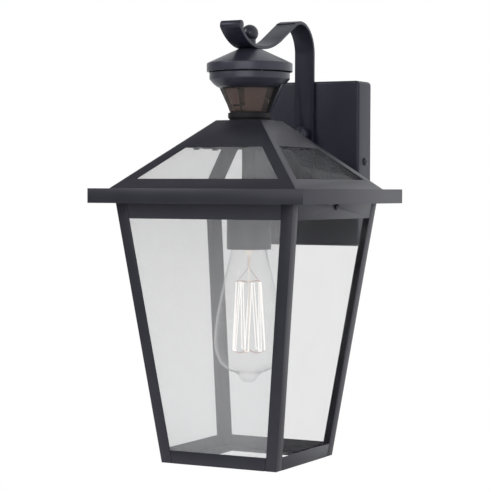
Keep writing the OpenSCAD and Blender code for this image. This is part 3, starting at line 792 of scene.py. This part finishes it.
HOUSING_PROFILE = [
    (5.1, 93.0), (27.6, 93.0), (30.5, 94.3), (33.6, 96.8), (37.2, 101.0), (37.2, 107.0),
    (35.4, 107.0), (35.4, 101.6), (32.3, 97.9), (29.8, 95.9), (27.0, 94.8), (5.1, 94.8),
]
HOUSING_ROUNDS = [0.3, 0.9, 1.2, 2.5, 1.6, 0.5, 0.4, 1.0, 1.5, 1.0, 0.6, 0.3]
SENSOR_GLAND_HOLE_R = 3.3
SENSOR_GLAND_Z = 102.5
SENSOR_HOLE_SPAN = (30, 40)
# How far out the pegs stand, the height of their feet, and their profiles
LOW_PEG = (22, 94.5, [(0, 0), (2.2, 0), (1.9, 3.5), (0, 3.5)])
TALL_PEG = (35.3, 105, [(0, 0), (1.5, 0), (1.7, 0.4), (1.4, 6.0), (0, 6.0)])


def sensor_housing():
    """The stepped housing with the gland's hole in its back, and the pegs that carry the board
    and hold the cap."""
    bm = lathe_into(bmesh.new(), rounded(HOUSING_PROFILE, HOUSING_ROUNDS), 128, LANTERN)
    obj = mesh_object("sensor_housing_turned", bm, BLACK_PLASTIC)
    hole = bmesh.new()
    near, far = SENSOR_HOLE_SPAN
    rod_into(hole, SENSOR_GLAND_HOLE_R, -far, -near, LANTERN @ shifted(0, 0, SENSOR_GLAND_Z) @ ALONG_Y)
    cut(obj, hole)
    add_piece(obj, "root", ["sensor_housing"])
    pegs = bmesh.new()
    for quarter in range(4):
        spin = LANTERN @ Matrix.Rotation(math.radians(45 + 90 * quarter), 4, "Z")
        for out, foot, profile in (LOW_PEG, TALL_PEG):
            lathe_into(pegs, profile, 24, spin @ shifted(out, 0, foot))
    add_piece(mesh_object("sensor_housing_pegs", pegs, BLACK_PLASTIC))


sensor_housing()

BASE_PROFILE = [
    (5.1, 62.9), (18.6, 62.9), (18.6, 64.4), (19.8, 65.2), (19.8, 70.0), (18.4, 70.0), (18.4, 66.0),
    (5.1, 66.0),
]
base = rounded(BASE_PROFILE, 0.45)
lathe("sensor_base_turned", base, MATTE_AND_SHADE_PLASTIC, "root", ["sensor_base"], 112)

# Directions about the lantern's axis, in degrees
FORWARD = 270
REARWARD = 90

LENS_ARC = 180.0
LENS_RIBS = 21
LENS_RIB_DEPTH = 0.4
LENS_SECTION = [(17.2, 70.2), (17.9, 70.2), (18.2, 70.5), (26.0, 92.6), (25.7, 92.9), (25.0, 92.9)]
SHELL_SECTION = [(17.9, 70.2), (19.4, 70.2), (19.7, 70.5), (32.9, 96.3), (32.8, 96.45), (30.6, 94.2)]
SHELL_END_SECTION = [(16.6, 70.2), (19.6, 70.2), (32.8, 96.4), (30.6, 94.2), (27.5, 92.8), (24.4, 92.8)]
SHELL_END_ARC = 2.6
SHELL_GAP_ARC = 0.8
# The window for the slide switches, in mm from the lantern's axis and the eave's top face
SWITCH_WINDOW = (-14, 14, 76.5), (14, 34, 87.5)


def sector_into(bm, section, start, end, steps, wave=0.0, ribs=0):
    """A section (radius, height) swept about the lantern's axis between two directions in
    degrees. Ribs press the section's first and last points inwards by up to wave."""
    loops = []
    for k in range(steps + 1):
        share = k / steps
        angle = math.radians(start + (end - start) * share)
        swell = wave * abs(math.sin(math.pi * ribs * share))
        loop = []
        for i, (r, z) in enumerate(section):
            if i in (0, len(section) - 1):
                r -= swell
            loop.append(around(r, angle, z))
        loops.append(loop)
    return loft_into(bm, loops)


def sensor_lens():
    """The smoked lens, ribbed upright on its inner face."""
    half = LENS_ARC / 2
    start, end = FORWARD - half, FORWARD + half
    bm = sector_into(bmesh.new(), LENS_SECTION, start, end, 4 * LENS_RIBS, LENS_RIB_DEPTH, LENS_RIBS)
    add_piece(mesh_object("sensor_lens_ribbed", bm, SMOKED), "root", ["sensor_lens"])


def sensor_rear_shell():
    """The cone behind the lens, with its switch window and the two walls that close its ends."""
    half = (360 - LENS_ARC - SHELL_GAP_ARC) / 2
    bm = sector_into(bmesh.new(), SHELL_SECTION, REARWARD - half, REARWARD + half, 96)
    obj = mesh_object("sensor_rear_shell_formed", bm, BLACK_PLASTIC)
    low, high = [at_lantern(*corner) / MM for corner in SWITCH_WINDOW]
    cut(obj, box_into(bmesh.new(), low, high))
    add_piece(obj, "root", ["sensor_rear_shell"])
    ends = bmesh.new()
    for start in (REARWARD - half - 0.05, REARWARD + half - SHELL_END_ARC + 0.05):
        sector_into(ends, SHELL_END_SECTION, start, start + SHELL_END_ARC, 3)
    # The end walls are painted shade: darker plastic than the shell, where the housing shades them.
    add_piece(mesh_object("sensor_rear_shell_ends_painted_shade", ends, MATTE_AND_SHADE_PLASTIC))


# Each sheet's two directions in degrees, and its bottom and top
LENS_SHEETS = ((196, 266, 77.6, 92.2), (198, 234, 71.4, 77.0), (238, 265, 72.4, 75.8), (284, 344, 71.4, 92.2))
LENS_FOOT_R, LENS_FOOT_Z = 18.2, 70.5
LENS_SLOPE = 0.353
SHEET_INSETS = (4.2, 3.6)


def lens_sheets():
    """Pale segmented sheets behind the smoked lens, with dark gaps between them, and the
    small frame of the light cell low down on the left."""
    deep, near = SHEET_INSETS
    bm = bmesh.new()
    for start, end, bottom, top in LENS_SHEETS:
        section = []
        for z, inset in ((bottom, deep), (bottom, near), (top, near), (top, deep)):
            section.append((LENS_FOOT_R + (z - LENS_FOOT_Z) * LENS_SLOPE - inset, z))
        sector_into(bm, section, start, end, end - start, 0.25, (end - start) // 5)
    add_piece(mesh_object("sensor_lens_sheets", bm, LENS_SHEET))


sensor_lens()
lens_sheets()
sensor_rear_shell()

KNOB_RIBS = 4
KNOB_RIB_STEP = 0.9


def slide_knob(node):
    """A slide switch's knob with grip ribs across its face."""
    x, z = node_centre(node).x / MM, node_centre(node).z / MM
    low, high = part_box(node)
    foot, face = low.y / MM, high.y / MM
    bm = bmesh.new()
    box_into(bm, (x - 3, foot, z - 3), (x + 3, foot + 1.4, z + 3), 0.25)
    box_into(bm, (x - 1.7, foot + 1.2, z - 1.6), (x + 1.7, face - 0.45, z + 1.6), 0.25)
    for k in range(KNOB_RIBS):
        rib = x + KNOB_RIB_STEP * (k - (KNOB_RIBS - 1) / 2)
        box_into(bm, (rib - 0.25, face - 0.9, z - 1.5), (rib + 0.25, face, z + 1.5), 0.1)
    return mesh_object(node + "_ribbed", bm, SWITCH)


for node, body in (("time_switch", "time_knob"), ("range_switch", "range_knob")):
    add_piece(slide_knob(node), body, [node])


# ---------- sensor electronics ----------

BOARD_TOP = 99.6
BOARD_PROFILE = [(8.4, 98.0), (29.0, 98.0), (29.0, BOARD_TOP), (8.4, BOARD_TOP)]
lathe("sensor_board_disc", rounded(BOARD_PROFILE, 0.2), BOARD, replaces=["sensor_board"])

# Two corners of the relay, the chip and the row of small parts, their heights above the board
BLOCKS = (((-22, -8, 0), (-10, 7, 10)), ((-4, 13, 0), (6, 20, 4)), ((-5, -21, 0), (7, -15, 3)))
# Place and size of each capacitor
CAPACITORS = ((15, 8, 4.5, 9), (16, -10, 3, 7))


def board_components():
    """What stands on the round board, under the cap."""
    blocks = bmesh.new()
    lift = Vector((0, AXIS_Y, EAVE_Z + BOARD_TOP))
    for low, high in BLOCKS:
        box_into(blocks, Vector(low) + lift, Vector(high) + lift, 0.5)
    obj = mesh_object("board_blocks", blocks, COMPONENT)
    add_piece(obj, "root", ["board_components"])
    cans = bmesh.new()
    for x, y, radius, height in CAPACITORS:
        section = [(0, 0), (radius, 0), (radius, 1.2), (radius - 0.35, 1.6), (radius, 2.0)]
        section += [(radius, height - 0.5), (radius - 0.5, height)]
        section += [(radius - 1.0, height - 0.3), (0, height - 0.3)]
        lathe_into(cans, section, 32, LANTERN @ shifted(x, y, BOARD_TOP))
    add_piece(mesh_object("board_capacitors", cans, COMPONENT))


# Five small parts in a row on the detector board
ROW_COUNT = 5
ROW_STEP = 3.5
ROW_LOW, ROW_HIGH = 80.6 + EAVE_Z, 81.6 + EAVE_Z


def detector_board():
    """Upright board behind the lens."""
    low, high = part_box("detector_board")
    bm = bmesh.new()
    box_into(bm, low / MM, high / MM, 0.2)
    front = low.y / MM
    for k in range(ROW_COUNT):
        x = ROW_STEP * (k - (ROW_COUNT - 1) / 2)
        box_into(bm, (x - 0.8, front - 0.7, ROW_LOW), (x + 0.8, front + 0.1, ROW_HIGH), 0.15)
    obj = mesh_object("detector_board_populated", bm, BOARD)
    add_piece(obj, "root", ["detector_board"])


def board_can(name, node, profile, material, steps):
    """A turned part that faces forwards from its seat on the detector board."""
    centre = node_centre(node)
    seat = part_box(node)[1].y
    turn = Matrix.Translation(Vector((centre.x, seat, centre.z))) @ ALONG_Y
    lathe(name, profile, material, replaces=[node], steps=steps, turn=turn)


board_components()
detector_board()
DETECTOR_PROFILE = [
    (0, 0), (5.2, 0), (5.2, 0.8), (4.6, 0.9), (4.6, 3.1), (4.2, 3.6), (3.4, 3.6), (3.2, 3.3), (0, 3.3),
]
board_can("heat_detector_can", "heat_detector", DETECTOR_PROFILE, DETECTOR, 48)
CELL_PROFILE = [(0, 0), (2.4, 0), (2.4, 0.5), (2.1, 0.8), (2.0, 1.3), (1.5, 1.8), (0.8, 2.0), (0, 2.0)]
board_can("light_cell_dome", "light_cell", CELL_PROFILE, SWITCH, 32)


# ---------- socket ----------

tube = rounded([(5.2, -6), (6.85, -6), (6.85, 57.5), (5.2, 57.5)], 0.35)
lathe("socket_tube_turned", tube, BLACK_METAL, "root", ["socket_tube"], 72)

CUP_PROFILE = [(4.7, -6), (20.65, -6), (20.65, -56), (19.45, -56), (19.45, -7.2), (4.7, -7.2)]
cup = rounded(CUP_PROFILE, [0.3, 1.6, 0.4, 0.4, 0.9, 0.3])
lathe("socket_cup_drawn", cup, BLACK_METAL, "root", ["socket_cup"], 112)

HOLDER_PROFILE = [
    (4.7, -13.0), (18.8, -13.0), (18.8, -53.4), (14.4, -53.4), (14.4, -24.0), (2.0, -24.0), (2.0, -15.6),
    (4.7, -15.6),
]
holder = rounded(HOLDER_PROFILE, [0.3, 1.2, 1.0, 0.8, 0.5, 0.3, 0.2, 0.2])
lathe("lamp_holder_glazed", holder, PORCELAIN, "root", ["lamp_holder"])

THREAD_PITCH = 3.63
THREAD_STEPS = 40
SLEEVE_STEPS = 96


def threaded_sleeve(name, material, body, node, sleeve):
    """A sleeve with a rolled thread. sleeve(angle) is its closed (r, z) profile at an angle in
    radians."""
    bm = bmesh.new()
    loops = []
    for k in range(SLEEVE_STEPS):
        angle = 2 * math.pi * k / SLEEVE_STEPS
        loops.append([around(r, angle, z) for r, z in sleeve(angle)])
    loft_into(bm, loops, capped=False)
    add_piece(mesh_object(name, bm, material), body, [node])


def thread_wave(z, angle):
    """0 to 1 along a right-hand thread."""
    return 0.5 + 0.5 * math.cos(2 * math.pi * z / THREAD_PITCH - angle)


SHELL_THREAD_R = 13.4
SHELL_THREAD_DEPTH = 0.45
SHELL_LOW, SHELL_HIGH = -52.5, -24.2
CAP_THREAD_R = 12.95
CAP_THREAD_DEPTH = 0.75
CAP_LOW, CAP_HIGH = -52.0, -31.4


def shell_section(angle):
    """The lamp holder's screw shell, cut through at this angle."""
    inner, outer = [], []
    for k in range(THREAD_STEPS + 1):
        z = SHELL_LOW + (SHELL_HIGH - SHELL_LOW) * k / THREAD_STEPS
        r = SHELL_THREAD_R + SHELL_THREAD_DEPTH * thread_wave(z, angle)
        inner.append((r, z))
        outer.append((r + 0.35, z))
    return inner + list(reversed(outer))


def cap_section(angle):
    """The bulb's screw cap, cut through at this angle. Its thread fades out at both ends."""
    outer, inner = [], []
    for k in range(THREAD_STEPS + 1):
        z = CAP_LOW + (CAP_HIGH - CAP_LOW) * k / THREAD_STEPS
        fade = min(1.0, (z - CAP_LOW) / 3.0, (CAP_HIGH - z) / 1.5)
        r = CAP_THREAD_R - CAP_THREAD_DEPTH * fade * (1 - thread_wave(z, angle))
        outer.append((r, z))
        inner.append((min(r - 0.3, 12.3), z))
    return outer + [(9.6, -30.2), (9.3, -30.5)] + list(reversed(inner))


threaded_sleeve("screw_shell_threaded", BRASS, "root", "screw_shell", shell_section)


# ---------- bulb ----------

threaded_sleeve("bulb_cap_threaded", CAP_METAL, "bulb", "bulb_base", cap_section)
insulator = rounded([(4.3, -31.6), (9.5, -31.2), (9.4, -30.3), (5.0, -28.0), (4.3, -28.0)], 0.3)
lathe("bulb_cap_insulator", insulator, BLACK_GLOSS, "bulb", steps=64)
tip = rounded([(0, -33.4), (4.2, -33.4), (4.2, -27.6), (2.6, -26.5), (0, -26.5)], [0, 0.3, 0.6, 1.0, 0])
lathe("bulb_tip_solder", tip, CAP_METAL, "bulb_travel", ["bulb_tip_contact"], 48)

GLASS_OUTLINE = [
    (12.5, -50.5), (12.5, -52.1), (14.2, -54.2), (16.4, -56.4), (18.0, -64.0), (20.6, -75.0), (24.2, -90.0),
    (28.0, -108.0), (31.0, -126.0), (32.0, -142.0), (30.6, -152.0), (27.2, -160.4), (23.0, -165.2),
    (18.0, -168.4), (13.4, -170.2), (10.4, -171.8), (8.9, -174.2), (7.2, -176.8), (4.2, -178.8),
    (0.0, -179.4),
]
GLASS_WALL = 0.8


def smooth_line(points, per_span=5):
    """Points of a Catmull-Rom curve through the given ones."""
    out = []
    last = len(points) - 1
    for i in range(last):
        p0 = Vector(points[max(i - 1, 0)])
        p1 = Vector(points[i])
        p2 = Vector(points[i + 1])
        p3 = Vector(points[min(i + 2, last)])
        for k in range(per_span):
            t = k / per_span
            spot = 2 * p1 + (p2 - p0) * t
            spot += (2 * p0 - 5 * p1 + 4 * p2 - p3) * t**2
            spot += (3 * p1 - p0 - 3 * p2 + p3) * t**3
            out.append(spot / 2)
    out.append(Vector(points[-1]))
    return out


def bulb_glass():
    """The blown envelope, closed at its tip and open into the cap."""
    outer = smooth_line(GLASS_OUTLINE)
    for point in outer:
        point.x = max(point.x, 0.0)
    inner = []
    for i, point in enumerate(outer):
        ahead = outer[min(i + 1, len(outer) - 1)] - outer[max(i - 1, 0)]
        normal = Vector((ahead.y, -ahead.x)).normalized()
        spot = point + normal * GLASS_WALL
        inner.append((max(spot.x, 0.0), spot.y))
    inner[-1] = (0.0, outer[-1].y + GLASS_WALL)
    profile = [(p.x, p.y) for p in outer] + list(reversed(inner))
    lathe("bulb_glass_blown", profile, BULB_GLASS, "bulb", ["bulb_glass"], 112)


bulb_glass()

STEM_PROFILE = [
    (9.4, -50.8), (11.0, -50.8), (11.0, -52.6), (9.0, -53.8), (5.6, -55.6), (3.6, -57.6), (2.6, -60.0),
    (1.6, -61.6), (0.85, -62.8), (0.7, -84.6), (1.4, -85.6), (1.4, -87.2), (0.7, -88.2), (0.65, -147.6),
    (1.4, -148.6), (1.6, -150.0), (1.0, -151.2), (0.0, -151.6), (0.0, -58.0), (2.6, -56.6), (4.6, -54.8),
    (8.0, -52.6),
]
lathe("bulb_stem_drawn", STEM_PROFILE, LIT_STEM, "bulb", ["bulb_stem"], 48)

# The filament hangs between two rings of hooks. turn is a ring's angle in hook steps, and lift
# is how far its hooks bow up or down on their way out.
HOOKS = 7
TOP_RING = {"radius": 11.8, "z": -87.0, "turn": 0.15, "lift": 1.4}
LOW_RING = {"radius": 15.2, "z": -149.5, "turn": 0.65, "lift": -2.2}
HOOK_SPAN = 0.11
HUB_R = 1.2
HOOK_REACH = 0.9
HOOK_DROP = 0.6
HOOK_WIRE_R = 0.2
COIL_R = 0.5
COIL_WIRE_R = 0.17
COIL_PITCH = 0.85
COIL_STEPS_PER_TURN = 9
LEAD_WIRE_R = 0.22
LEAD_TOP = -56.0
LEAD_TWIST_LENGTH = 15.0
LEAD_TWISTS = 2
LEAD_SAG = 0.6


def hook_spot(index, ring, shift):
    """Where a ring's hook holds the filament, moved round by shift in hook steps."""
    angle = 2 * math.pi * (index + ring["turn"] + shift) / HOOKS
    return around(ring["radius"], angle, ring["z"])


def coil_points(start, finish):
    """Centreline of a coiled wire between two points in metres."""
    along = finish - start
    side = along.orthogonal().normalized()
    other = along.normalized().cross(side)
    turns = along.length / (COIL_PITCH * MM)
    count = int(turns * COIL_STEPS_PER_TURN)
    points = []
    for k in range(count + 1):
        share = k / count
        angle = 2 * math.pi * turns * share
        out = (side * math.cos(angle) + other * math.sin(angle)) * COIL_R * MM
        points.append(start + along * share + out)
    return points


def filament():
    """One coiled wire, up and down between the hooks, with a short span across each hook."""
    corners = []
    for i in range(HOOKS):
        for ring in (TOP_RING, LOW_RING):
            corners += [hook_spot(i, ring, -HOOK_SPAN), hook_spot(i, ring, HOOK_SPAN)]
    bm = bmesh.new()
    for start, finish in zip(corners, corners[1:] + corners[:1]):
        tube_into(bm, coil_points(start, finish), COIL_WIRE_R, 4)
    add_piece(mesh_object("bulb_filament_coiled", bm, GLOW), "bulb", ["bulb_filament"])


def hook_points(index, ring, steps=12):
    """Centreline of one hook from its hub on the stem to just past the filament."""
    angle = 2 * math.pi * (index + ring["turn"]) / HOOKS
    points = []
    for k in range(steps + 1):
        share = k / steps
        r = HUB_R + (ring["radius"] + HOOK_REACH - HUB_R) * share
        drop = math.copysign(HOOK_DROP, ring["lift"]) * share
        z = ring["z"] + ring["lift"] * math.sin(math.pi * share) + drop
        points.append(around(r, angle, z))
    return points


def lead_points(start_angle, hook, twist_steps=40, steps=12):
    """Centreline of one lead: twisted down the stem, then out in a slight sag to a top hook."""
    points = []
    for k in range(twist_steps + 1):
        share = k / twist_steps
        angle = 2 * math.pi * LEAD_TWISTS * share + start_angle
        r = 1.5 - 0.4 * min(1.0, share * 3)
        points.append(around(r, angle, LEAD_TOP - LEAD_TWIST_LENGTH * share))
    finish = hook_spot(hook, TOP_RING, 0) + Vector((0, 0, HOOK_DROP)) * MM
    last = points[-1]
    for k in range(1, steps + 1):
        share = k / steps
        sag = Vector((0, 0, -LEAD_SAG * MM * math.sin(math.pi * share)))
        points.append(last.lerp(finish, share) + sag)
    return points


def support_wires():
    """Copper hooks from the stem's two hubs, and the twisted pair of leads."""
    bm = bmesh.new()
    for i in range(HOOKS):
        for ring in (TOP_RING, LOW_RING):
            tube_into(bm, hook_points(i, ring), HOOK_WIRE_R, 6)
    for start_angle, hook in ((0, 4), (math.pi, 1)):
        tube_into(bm, lead_points(start_angle, hook), LEAD_WIRE_R, 6)
    add_piece(mesh_object("bulb_support_wires", bm, COPPER), "bulb")


filament()
support_wires()


# ---------- camera ----------

CAMERA_AZIMUTH = math.radians(27.783)
CAMERA_PITCH = math.radians(1.825)
CAMERA_ROLL = math.radians(0.210)
CAMERA_LENS = 129.03
CAMERA_PLACE = Vector((0.75493, -1.58891, -0.02525))


def make_camera():
    """A long-lens camera in front of the lantern and to its right, tipped slightly down."""
    data = bpy.data.cameras.new("photo_camera")
    data.lens = CAMERA_LENS
    data.sensor_width = 36
    data.clip_start = 0.05
    data.clip_end = 40
    camera = bpy.data.objects.new("photo_camera", data)
    bpy.context.scene.collection.objects.link(camera)
    swing = Matrix.Rotation(CAMERA_AZIMUTH, 4, "Z")
    tip = Matrix.Rotation(math.radians(90) - CAMERA_PITCH, 4, "X")
    roll = Matrix.Rotation(CAMERA_ROLL, 4, "Z")
    camera.matrix_world = Matrix.Translation(CAMERA_PLACE) @ swing @ tip @ roll
    bpy.context.scene.camera = camera


make_camera()


# ---------- stage and light ----------

FLOOR_Z = -0.9
FLOOR_R = 2.6


def make_floor():
    """A pale round floor with a bevelled rim, well below the lantern."""
    radius = FLOOR_R / MM
    section = [(0, 0), (radius - 20, 0), (radius, -12), (radius, -30), (0, -30)]
    bm = lathe_into(bmesh.new(), section, 128, shifted(0, AXIS_Y, FLOOR_Z / MM))
    finish = solid_finish(
        "pale_floor", (0.9, 0.9, 0.905), (0.94, 0.94, 0.94), (0.6, 0.8), 60.0, 0.2, drift=3.0
    )
    mesh_object("floor", bm, finish)


BRIGHTEST = Vector((0.62, 0.75, -0.1))


def make_world():
    """A soft studio that looks white to the camera. It lights the lantern most from behind on the
    right and from a band along the horizon, and least from where the camera stands."""
    world = bpy.data.worlds.new("studio")
    bpy.context.scene.world = world
    world.use_nodes = True
    tree = world.node_tree
    tree.nodes.clear()
    where = add(tree, "TexCoord").outputs["Generated"]
    toward = add(tree, "VectorMath")
    toward.operation = "DOT_PRODUCT"
    tree.links.new(where, toward.inputs[0])
    toward.inputs[1].default_value = BRIGHTEST.normalized()
    height = add(tree, "SeparateXYZ", Vector=where).outputs["Z"]
    side = spread(tree, toward.outputs["Value"], 0.2, 1.0, -0.75, 0.55)
    band = spread(tree, combine(tree, "ABSOLUTE", height), 0.12, -0.06, 0.0, 0.7)
    seen = add(tree, "LightPath").outputs["Is Camera Ray"]
    dim = add(tree, "Background", Color=(0.97, 0.98, 1.0, 1), Strength=combine(tree, "ADD", side, band))
    white = add(tree, "Background", Color=(1, 1, 1, 1), Strength=1.0)
    add(tree, "OutputWorld", Surface=mix_shaders(tree, seen, dim.outputs[0], white.outputs[0]))


def make_light(name, place, aim, size, power):
    """A rectangular soft box at a place, turned to its aim."""
    data = bpy.data.lights.new(name, "AREA")
    data.shape = "RECTANGLE"
    data.size, data.size_y = size
    data.energy = power
    light = bpy.data.objects.new(name, data)
    bpy.context.scene.collection.objects.link(light)
    light.location = place
    light.rotation_mode = "QUATERNION"
    light.rotation_quaternion = (Vector(aim) - Vector(place)).to_track_quat("-Z", "Y")


make_floor()
make_world()
HEART = (0, AXIS_Y * MM, -0.05)
make_light("key_upper_left", (-1.4, -1.8, 1.3), HEART, (1.2, 1.2), 24)
make_light("fill_by_camera", (0.35, -1.6, 0.3), HEART, (1.3, 0.9), 7)
bpy.context.scene.view_settings.view_transform = "Standard"
